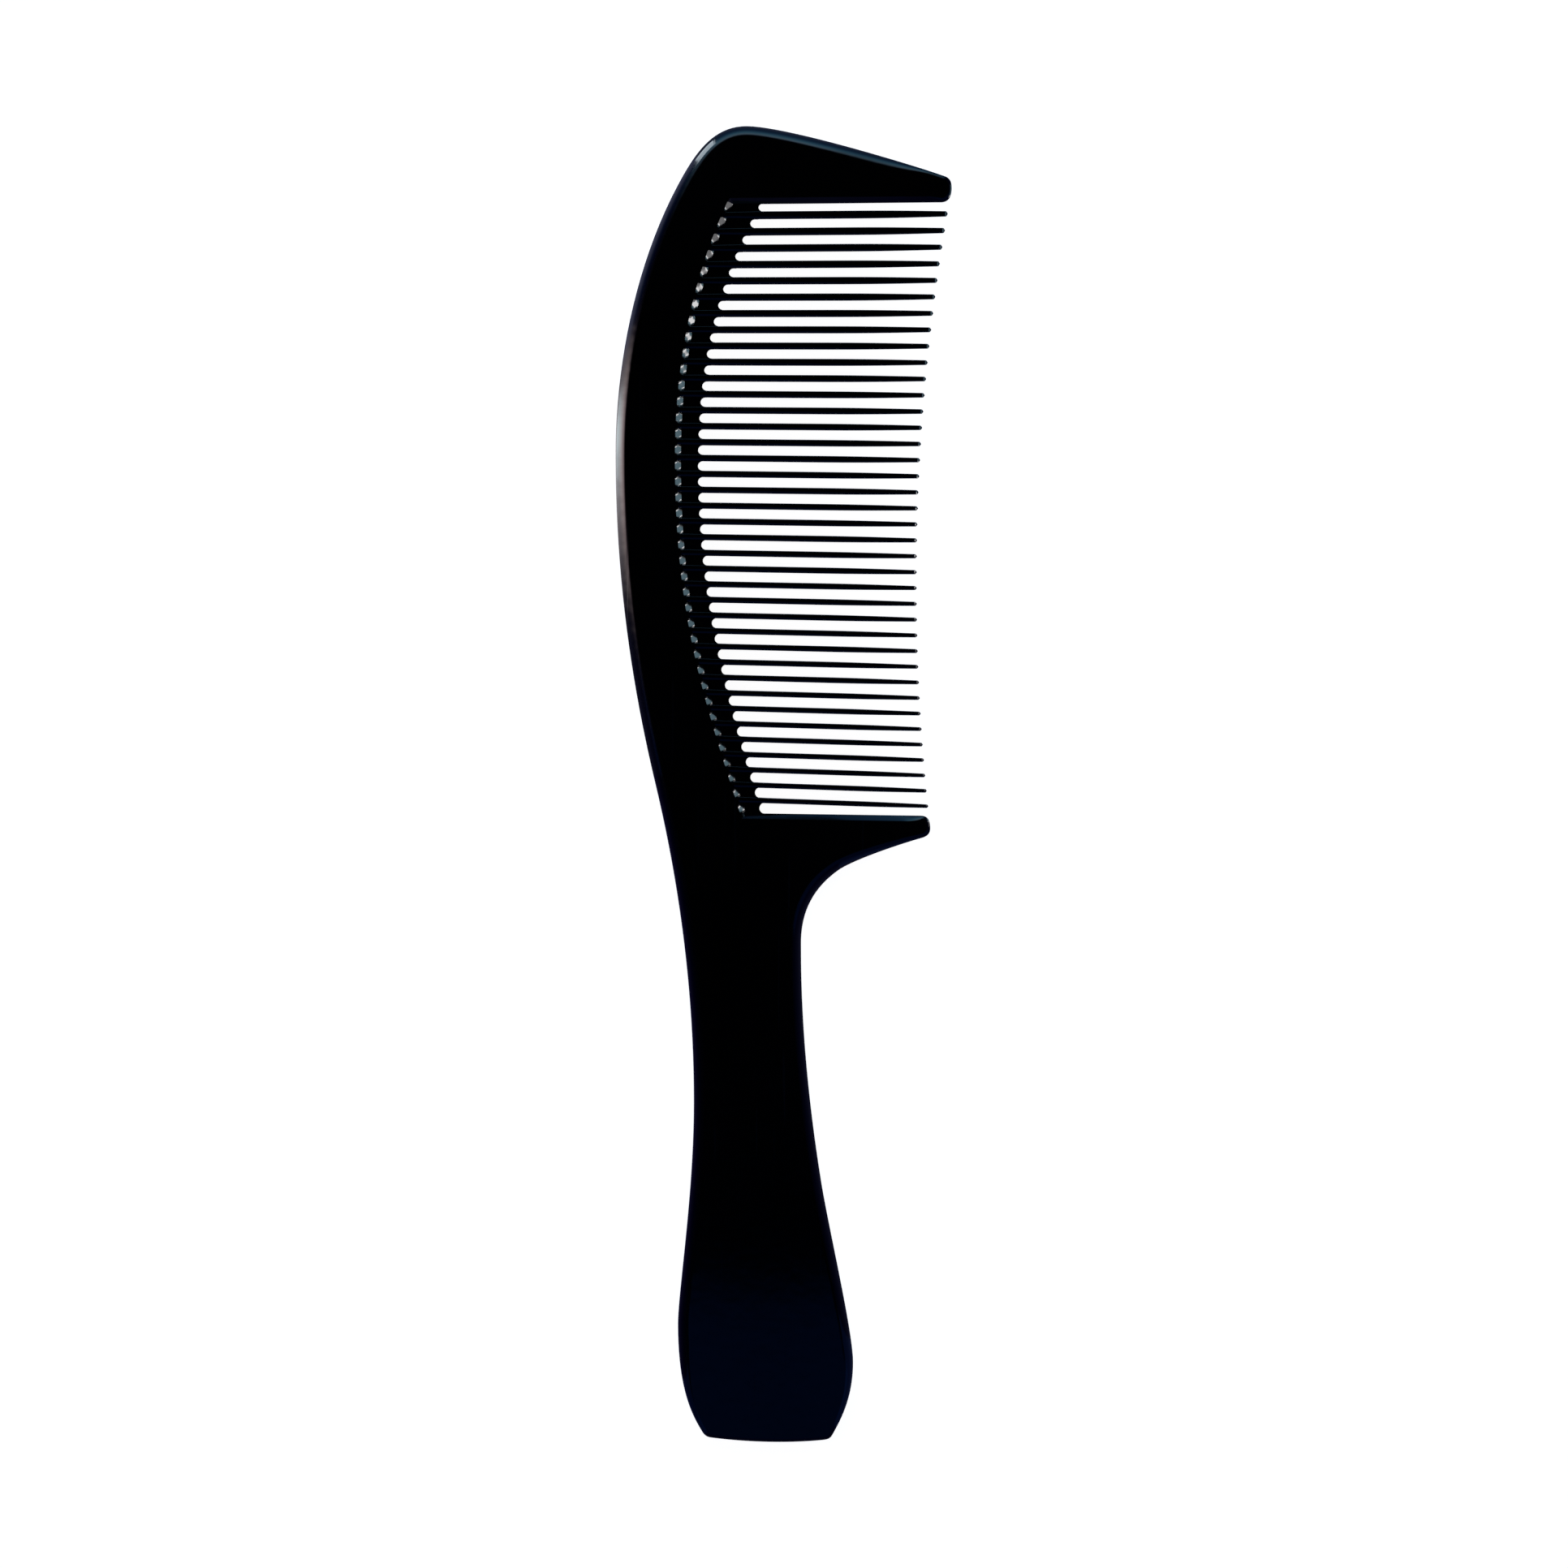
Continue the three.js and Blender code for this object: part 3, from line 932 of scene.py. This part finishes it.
@dataclass
class ToothRow:
    """The teeth, each a slender blade that runs back over the web into the border."""

    material: Material
    middle_height: float
    model_length: float = 40.0
    model_width: float = 1.1
    root_thickness: float = 4.2
    tip_thickness: float = 1.6
    shoulder: float = 0.03
    face_share: float = 0.84
    taper_length: float = 16.0
    tip_width_share: float = 0.68
    nose: float = 0.75
    nose_width_share: float = 0.55
    nose_blunt: float = 0.004
    rib_length: float = 5.0
    rib_width: float = 1.05
    depth_in_back: float = 0.75
    long_edge: float = 10.0
    smooth_degrees: float = 40.0
    stations: tuple[float, ...] = (
        34.0, 28.0, 22.0, 16.0, 12.5, 9.5, 7.0, 4.8, 3.0, 1.8, 1.0, 0.6, 0.36, 0.2, 0.09, 0.03,
    )

    def build(self) -> list[Object]:
        """Models one tooth and copies it along the row.

        Returns:
            The finished teeth, from the head down.
        """
        model = self._model()
        teeth = []
        for number, place in enumerate(tooth_places(), start=1):
            node = f"tooth_{number:02d}"
            tooth = Bench.copy(model)
            back_x = place.border_x() - self.depth_in_back
            Bench.reshape(tooth, lambda point: self._fit(point, place, back_x))
            Bench.finish(tooth, f"comb_{node}", self.material, self.smooth_degrees, (node,))
            teeth.append(tooth)
        bpy.data.objects.remove(model)
        return teeth

    def _model(self) -> Object:
        """Models one tooth.

        Returns:
            The model, with its tip at X = 0 and its root towards -X.
        """
        bpy.ops.mesh.primitive_cube_add(size=1.0)
        piece = bpy.context.object
        Bench.open(piece)
        size = (self.model_length * MM, self.model_width * MM, self.root_thickness * MM)
        bpy.ops.transform.resize(value=size)
        bpy.ops.transform.translate(value=(-size[0] / 2, 0.0, 0.0))
        bpy.ops.mesh.bisect(plane_co=(0.0, 0.0, 0.0), plane_no=(0.0, 0.0, 1.0))
        Bench.select(piece, Part.VERTS, lambda vertex: abs(vertex.co.z) > MM)
        bpy.ops.transform.resize(value=(1.0, self.face_share, 1.0), center_override=(0, 0, 0))
        Bench.select(piece, Part.EDGES, self._runs_along_face)
        bpy.ops.mesh.bevel(offset=self.shoulder * MM, segments=3, profile=0.5, clamp_overlap=False)
        for distance in self.stations:
            bpy.ops.mesh.select_all(action="SELECT")
            bpy.ops.mesh.bisect(plane_co=(-distance * MM, 0.0, 0.0), plane_no=(1.0, 0.0, 0.0))
        for distance in (*self.stations, 0.0):
            self._scale_ring(piece, distance)
        Bench.close()
        return piece

    def _runs_along_face(self, edge: Any) -> bool:
        """Says whether an edge is one of the four long ones of the faces."""
        first, second = (vertex.co for vertex in edge.verts)
        return abs(first.x - second.x) > self.long_edge * MM and abs(first.z) > MM

    def _scale_ring(self, piece: Object, distance: float) -> None:
        """Scales one ring of the tooth to its width and thickness.

        Args:
            piece: the tooth, in edit mode.
            distance: how far the ring is from the tip, in millimetres.
        """
        x = -distance * MM
        Bench.select(piece, Part.VERTS, lambda vertex: abs(vertex.co.x - x) < WELD)
        grown = math.sin(math.pi / 2 * min(1.0, distance / self.taper_length))
        width = self.tip_width_share + (1 - self.tip_width_share) * grown
        growth = self.root_thickness - self.tip_thickness
        thickness = self.tip_thickness + growth * distance / self.model_length
        reach = max(distance, self.nose_blunt)
        round_wide = self._nose_share(reach, self.nose * self.nose_width_share)
        round_thick = self._nose_share(reach, self.nose)
        scale = (1.0, width * round_wide, thickness / self.root_thickness * round_thick)
        bpy.ops.transform.resize(value=scale, center_override=(x, 0.0, 0.0))

    @staticmethod
    def _nose_share(distance: float, radius: float) -> float:
        """Returns how wide a round nose is at a distance from its point, from 0 to 1."""
        return math.sqrt(1.0 - max(0.0, 1.0 - distance / radius) ** 2)

    def _fit(self, point: Vector, place: ToothPlace, back_x: float) -> Vector:
        """Fits a vertex of the model tooth to one tooth of the row.

        Args:
            point: the vertex, in metres.
            place: where the tooth lies.
            back_x: where the tooth ends inside the back, in millimetres.

        Returns:
            The vertex's place in the comb.
        """
        length = place.tip_x - back_x
        x = place.tip_x + point.x / MM * length / self.model_length
        on_rib = min(max(1.0 - (x - back_x - self.depth_in_back) / self.rib_length, 0.0), 1.0)
        blend = on_rib * on_rib * (3 - 2 * on_rib)
        width = place.width + (self.rib_width - place.width) * blend
        y = place.centre(x) + point.y / MM * width / self.model_width
        return Vector((x * MM, y * MM, point.z + self.middle_height * MM))


# ---- web


@dataclass
class RootWeb:
    """The thin sheet between the border and the slots, with a round end to each slot."""

    material: Material
    middle_height: float
    thickness: float = 3.0
    tuck: float = 0.75
    land: float = 0.9
    slot_ease: float = 0.04
    rim: float = 0.22
    rim_degrees: float = 50.0
    smooth_degrees: float = 32.0
    steps: int = 36
    cutter_sides: int = 32
    cutter_depth: float = 12.0
    cutter_run: float = 8.0

    def build(self) -> Object:
        """Models the web.

        Returns:
            The finished web.
        """
        sheet = self._sheet()
        cutter = self._slot_cutters()
        Bench.modifier(sheet, "BOOLEAN", operation="DIFFERENCE", solver="EXACT", object=cutter)
        bpy.data.objects.remove(cutter)
        Bench.modifier(
            sheet, "BEVEL", width=self.rim * MM, segments=3, limit_method="ANGLE",
            angle_limit=math.radians(self.rim_degrees), use_clamp_overlap=True,
        )
        Bench.finish(sheet, "comb_root_web", self.material, self.smooth_degrees, ("root_web",))
        Bench.modifier(sheet, "WEIGHTED_NORMAL", keep_sharp=True, weight=60)
        return sheet

    def _sheet(self) -> Object:
        """Draws the sheet's plan, fills it and gives it its thickness.

        Returns:
            The sheet, without its slots.
        """
        hidden = [(x - self.tuck, y) for x, y in self._points_on(FIELD[1:3])]
        hidden[0] = (hidden[0][0], hidden[0][1] - self.tuck)
        hidden[-1] = (hidden[-1][0], hidden[-1][1] + self.tuck)
        roots = [(x + self.land, y) for x, y in self._points_on(SLOT_ENDS)]
        roots[0] = (roots[0][0], hidden[0][1])
        roots[-1] = (roots[-1][0], hidden[-1][1])
        loop = hidden[::-1] + roots
        bpy.ops.mesh.primitive_circle_add(vertices=len(loop), fill_type="NGON")
        piece = bpy.context.object
        for vertex, (x, y) in zip(piece.data.vertices, loop):
            vertex.co = (x * MM, y * MM, (self.middle_height - self.thickness / 2) * MM)
        Bench.open(piece)
        bpy.ops.mesh.select_all(action="SELECT")
        lift = (0.0, 0.0, self.thickness * MM)
        bpy.ops.mesh.extrude_region_move(TRANSFORM_OT_translate={"value": lift})
        Bench.turn_faces_outwards()
        Bench.close()
        return piece

    def _points_on(self, bends: Sequence[Bend]) -> list[Point]:
        """Returns points along a line of stretches, its end included."""
        points = [bend.at(step / self.steps) for bend in bends for step in range(self.steps)]
        return [*points, bends[-1].end]

    def _slots(self) -> Iterator[Triple]:
        """Yields the end X, the middle Y and the radius of each slot."""
        uppers: list[Callable[[float], float]] = [self._edge_of(FIELD[3])]
        lowers: list[Callable[[float], float]] = []
        for place in tooth_places():
            lowers.append(lambda x, place=place: place.centre(x) + place.width / 2)
            uppers.append(lambda x, place=place: place.centre(x) - place.width / 2)
        lowers.append(self._edge_of(FIELD[0]))
        for upper, lower in zip(uppers, lowers):
            x = x_on(SLOT_ENDS, (upper(0.0) + lower(0.0)) / 2)
            yield x, (upper(x) + lower(x)) / 2, (upper(x) - lower(x)) / 2

    @staticmethod
    def _edge_of(bend: Bend) -> Callable[[float], float]:
        """Returns the Y of a straight edge as a function of X."""
        (x0, y0), (x1, y1) = bend.start, bend.end
        return lambda x: y0 + (y1 - y0) * (x - x0) / (x1 - x0)

    def _slot_cutters(self) -> Object:
        """Makes a round-ended cutter and copies it to each slot.

        Returns:
            The cutters, joined.
        """
        model = self._model_cutter()
        cutters = []
        for x, y, radius in self._slots():
            cutter = Bench.copy(model)
            reach = radius + self.slot_ease
            Bench.reshape(cutter, lambda point: Vector((
                (x - self.slot_ease + reach + point.x * (reach if point.x < 0 else 1.0)) * MM,
                (y + point.y * reach) * MM,
                (self.middle_height + point.z) * MM,
            )))
            cutters.append(cutter)
        bpy.data.objects.remove(model)
        Bench.take(cutters[0])
        for cutter in cutters:
            cutter.select_set(True)
        bpy.ops.object.join()
        return bpy.context.object

    def _model_cutter(self) -> Object:
        """Models a slot of unit radius: half a cylinder drawn out along +X.

        Returns:
            The model cutter.
        """
        bpy.ops.mesh.primitive_cylinder_add(
            vertices=self.cutter_sides, radius=1.0, depth=self.cutter_depth)
        piece = bpy.context.object
        Bench.open(piece)
        bpy.ops.mesh.select_all(action="SELECT")
        bpy.ops.mesh.bisect(
            plane_co=(0, 0, 0), plane_no=(1, 0, 0), clear_outer=True, use_fill=True)
        Bench.select(piece, Part.FACES, lambda face: face.normal.x > FLAT)
        run = (self.cutter_run, 0.0, 0.0)
        bpy.ops.mesh.extrude_region_move(TRANSFORM_OT_translate={"value": run})
        Bench.turn_faces_outwards()
        Bench.close()
        return piece


# ---- studio


@dataclass(frozen=True)
class Softbox:
    """A rectangular studio light. Metres."""

    name: str
    centre: Triple
    aim: Triple
    width: float
    height: float
    radiance: float
    tint: Triple

    def build(self) -> None:
        """Hangs the light, out of the camera's sight."""
        bpy.ops.object.light_add(type="AREA", location=self.centre)
        lamp = bpy.context.object
        lamp.name = self.name
        lamp.data.shape = "RECTANGLE"
        lamp.data.size = self.width
        lamp.data.size_y = self.height
        lamp.data.color = self.tint
        lamp.data.energy = self.radiance * math.pi * self.width * self.height
        towards = Vector(self.aim) - Vector(self.centre)
        lamp.rotation_euler = towards.to_track_quat("-Z", "Y").to_euler()
        lamp.visible_camera = False


@dataclass(frozen=True)
class Glow:
    """A soft coloured region of the room, seen only as a reflection in the gloss.

    The bearing is measured from +X towards +Y. Both lists are in degrees: bearings with
    levels from 0 to 1, and elevations with colours from 0 to 1.
    """

    bearings: tuple[tuple[float, float], ...]
    elevations: Stops
    gain: float

    def add_to(self, graph: Graph, turn: Wire, height: Wire, below: Wire) -> Wire:
        """Adds the region to the room.

        Args:
            graph: the world's graph.
            turn: the bearing, from 0 at -Y round through +X to 1.
            height: the sine of the elevation, from 0 straight down to 1 straight up.
            below: the colour of the room so far.

        Returns:
            The colour with this region added.
        """
        window_stops = [((bearing + 90.0) / 360.0, level) for bearing, level in self.bearings]
        colour_stops = [
            (0.5 + 0.5 * math.sin(math.radians(elevation)), colour)
            for elevation, colour in self.elevations
        ]
        window = graph.ramp(window_stops, turn)
        colour = graph.ramp(colour_stops, height)
        return graph.mix(window * self.gain, below, colour, "ADD")


@dataclass
class Studio:
    """Camera straight above the comb, white sweep, small softboxes and a dim cool room."""

    view_width: float = 0.2561
    lens: float = 300.0
    sensor: float = 36.0
    off_centre: Point = (0.00012, -0.00003)
    sweep_radius: float = 6.0
    sweep_height: float = 8.0
    sweep_z: float = -0.0001
    flag_middle: Triple = (-0.05, -0.065, 0.09)
    flag_length: float = 0.12
    flag_height: float = 0.42
    sheen: Stops = (
        (0.050, (0.0, 0.0, 0.0)), (0.102, (0.005, 0.032, 0.15)), (0.6, (0.004, 0.02, 0.10)),
    )
    ceiling: tuple[Point, ...] = ((0.6, 0.0), (0.8, 1.0))
    softboxes: tuple[Softbox, ...] = (
        Softbox("field_grey", (0.17, 0.0175, 0.040), (-0.015, 0.0175, 0.040), 0.037, 0.09, 2.6,
                (1.0, 0.98, 0.98)),
        Softbox("field_white", (0.17, 0.042, 0.040), (-0.015, 0.042, 0.040), 0.010, 0.09, 15.0,
                (1.0, 0.99, 0.99)),
        Softbox("field_cool", (0.17, 0.085, 0.040), (-0.015, 0.085, 0.040), 0.074, 0.09, 2.6,
                (0.52, 0.86, 1.0)),
        Softbox("apex_strip", (-0.0632, 0.153, 0.028), (-0.0128, 0.1044, 0.028), 0.024, 0.078, 8.5,
                (0.80, 0.92, 1.0)),
        Softbox("end_left", (-0.045, -0.113, 0.03), (-0.015, -0.095, 0.03), 0.046, 0.12, 0.15,
                (0.03, 0.20, 1.0)),
        Softbox("end_right", (0.048, -0.106, 0.03), (0.010, -0.094, 0.03), 0.040, 0.12, 0.17,
                (0.08, 0.26, 1.0)),
    )
    ambient: Glow = Glow(
        ((-90, 1.0), (270, 1.0)),
        ((-90, (0.05, 0.05, 0.10)), (-55, (0.08, 0.08, 0.20)), (-28, (0.25, 0.25, 0.75)),
         (0, (0.18, 0.20, 0.60)), (21, (0.09, 0.10, 0.52)), (40, (0.04, 0.05, 0.36)),
         (60, (0.01, 0.02, 0.20)), (75, (0, 0, 0))),
        0.2,
    )
    sky: Glow = Glow(
        ((60, 0.0), (68, 0.7), (71.5, 1.0), (125, 1.0), (140, 0.5), (149, 0.05), (153, 0.0)),
        ((-40, (0.04, 0.05, 0.07)), (0, (0.010, 0.062, 0.14)), (21, (0.055, 0.19, 0.36)),
         (40, (0.19, 0.57, 0.86)), (55, (0.42, 0.74, 1.0)), (64, (0.27, 0.42, 0.56)),
         (69, (0.03, 0.04, 0.08)), (75, (0, 0, 0))),
        2.15,
    )
    back_warm: Glow = Glow(
        ((166, 0.0), (171, 0.55), (174, 1.0), (180, 1.0), (183, 0.42), (184.5, 0.16), (185.2, 0.0)),
        ((-60, (0.1, 0.09, 0.09)), (-25, (0.35, 0.30, 0.31)), (0, (0.60, 0.52, 0.54)),
         (21, (0.85, 0.71, 0.71)), (40, (1.0, 0.80, 0.80)), (57, (0.70, 0.56, 0.57)),
         (66, (0.12, 0.08, 0.09)), (73, (0, 0, 0))),
        5.8,
    )
    back_low: Glow = Glow(
        ((138, 0.0), (146, 1.0), (167, 1.0), (171, 0.0)),
        ((-70, (0.1, 0.1, 0.2)), (-30, (0.45, 0.5, 0.8)), (0, (0.45, 0.5, 0.85)),
         (10, (0.17, 0.22, 0.42)), (21, (0.03, 0.07, 0.22)), (40, (0.0, 0.01, 0.06)),
         (60, (0, 0, 0))),
        0.7,
    )
    back_core: Glow = Glow(
        ((172, 0.0), (175.5, 1.0), (178, 1.0), (180.5, 0.0)),
        ((-50, (0.2, 0.2, 0.2)), (-25, (0.7, 0.9, 0.95)), (10, (0.8, 1.0, 1.0)),
         (30, (0.5, 0.6, 0.65)), (48, (0, 0, 0))),
        6.0,
    )

    def build(self) -> None:
        """Sets up everything round the comb."""
        self._camera()
        self._sweep()
        self._flag()
        self._room()
        for softbox in self.softboxes:
            softbox.build()
        bpy.context.scene.view_settings.view_transform = "Standard"

    def _camera(self) -> None:
        """Hangs the camera over the middle of the comb, with +Y up in the picture."""
        top = CAD_BOX[1][2] / 2
        distance = self.view_width * self.lens / self.sensor
        bpy.ops.object.camera_add(location=(*self.off_centre, top + distance), rotation=(0, 0, 0))
        camera = bpy.context.object
        camera.data.lens = self.lens
        camera.data.sensor_width = self.sensor
        camera.data.clip_start = 0.01
        bpy.context.scene.camera = camera

    def _sweep(self) -> None:
        """Lays a white disc just under the comb, with a wall round it."""
        bpy.ops.mesh.primitive_circle_add(
            vertices=96, radius=self.sweep_radius, fill_type="NGON",
            location=(0.0, 0.0, self.sweep_z))
        sweep = bpy.context.object
        sweep.name = "sweep"
        Bench.open(sweep)
        Bench.select(sweep, Part.EDGES, lambda edge: edge.is_boundary)
        lift = (0.0, 0.0, self.sweep_height)
        bpy.ops.mesh.extrude_edges_move(TRANSFORM_OT_translate={"value": lift})
        Bench.close()
        sweep.data.materials.append(StudioPaper().build())
        sweep.visible_glossy = False
        sweep.visible_diffuse = False

    def _flag(self) -> None:
        """Stands a dark flag beside the handle, so that only the back catches the warm glow."""
        bpy.ops.mesh.primitive_plane_add(size=1.0)
        flag = bpy.context.object
        flag.name = "flag"
        x, y, z = self.flag_middle
        Bench.reshape(flag, lambda point: Vector(
            (x, self.flag_length * point.y + y, self.flag_height * point.x + z)))
        flag.data.materials.append(FlagCloth().build())
        flag.visible_camera = flag.visible_diffuse = flag.visible_shadow = False

    def _room(self) -> None:
        """Fills the dark room with its soft coloured regions."""
        world = bpy.data.worlds.new("room")
        world.use_nodes = True
        graph = Graph(world.node_tree)
        direction = graph.add("ShaderNodeTexCoord")[0]
        x, y, z = graph.add("ShaderNodeSeparateXYZ", {"Vector": direction})
        bearing = graph.add("ShaderNodeMath", {0: x * -1.0, 1: y}, operation="ARCTAN2")[0]
        turn = bearing * (0.5 / math.pi) + 0.5
        height = z * 0.5 + 0.5
        colour = self._handle_sheen(graph, y, z)
        for glow in (self.ambient, self.sky, self.back_low, self.back_warm, self.back_core):
            colour = glow.add_to(graph, turn, height, colour)
        shader = graph.add("ShaderNodeBackground", {"Color": colour, "Strength": 1.0})
        graph.add("ShaderNodeOutputWorld", {"Surface": shader[0]})
        bpy.context.scene.world = world

    def _handle_sheen(self, graph: Graph, y: Wire, z: Wire) -> Wire:
        """Returns a faint navy ceiling behind the handle, which its sloping end reflects."""
        sheen = graph.ramp(self.sheen, y * -1.0)
        return graph.mix(graph.ramp(self.ceiling, z), (0.0, 0.0, 0.0, 1.0), sheen)


# ---- main


def main() -> None:
    """Builds the studio and the comb."""
    logging.basicConfig(level=logging.INFO, format="%(name)s: %(message)s")
    bpy.ops.object.select_all(action="DESELECT")
    Studio().build()
    plastic = GlossBlackPlastic().build()
    low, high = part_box("back")
    thickness = (high.z - low.z) / MM
    middle = (high.z + low.z) / 2 / MM
    body = CombBody(thickness, plastic).build()
    web = RootWeb(plastic, middle).build()
    teeth = ToothRow(plastic, middle).build()
    LOG.info("%d pieces", len([body, web, *teeth]))


if __name__ == "__main__":
    main()
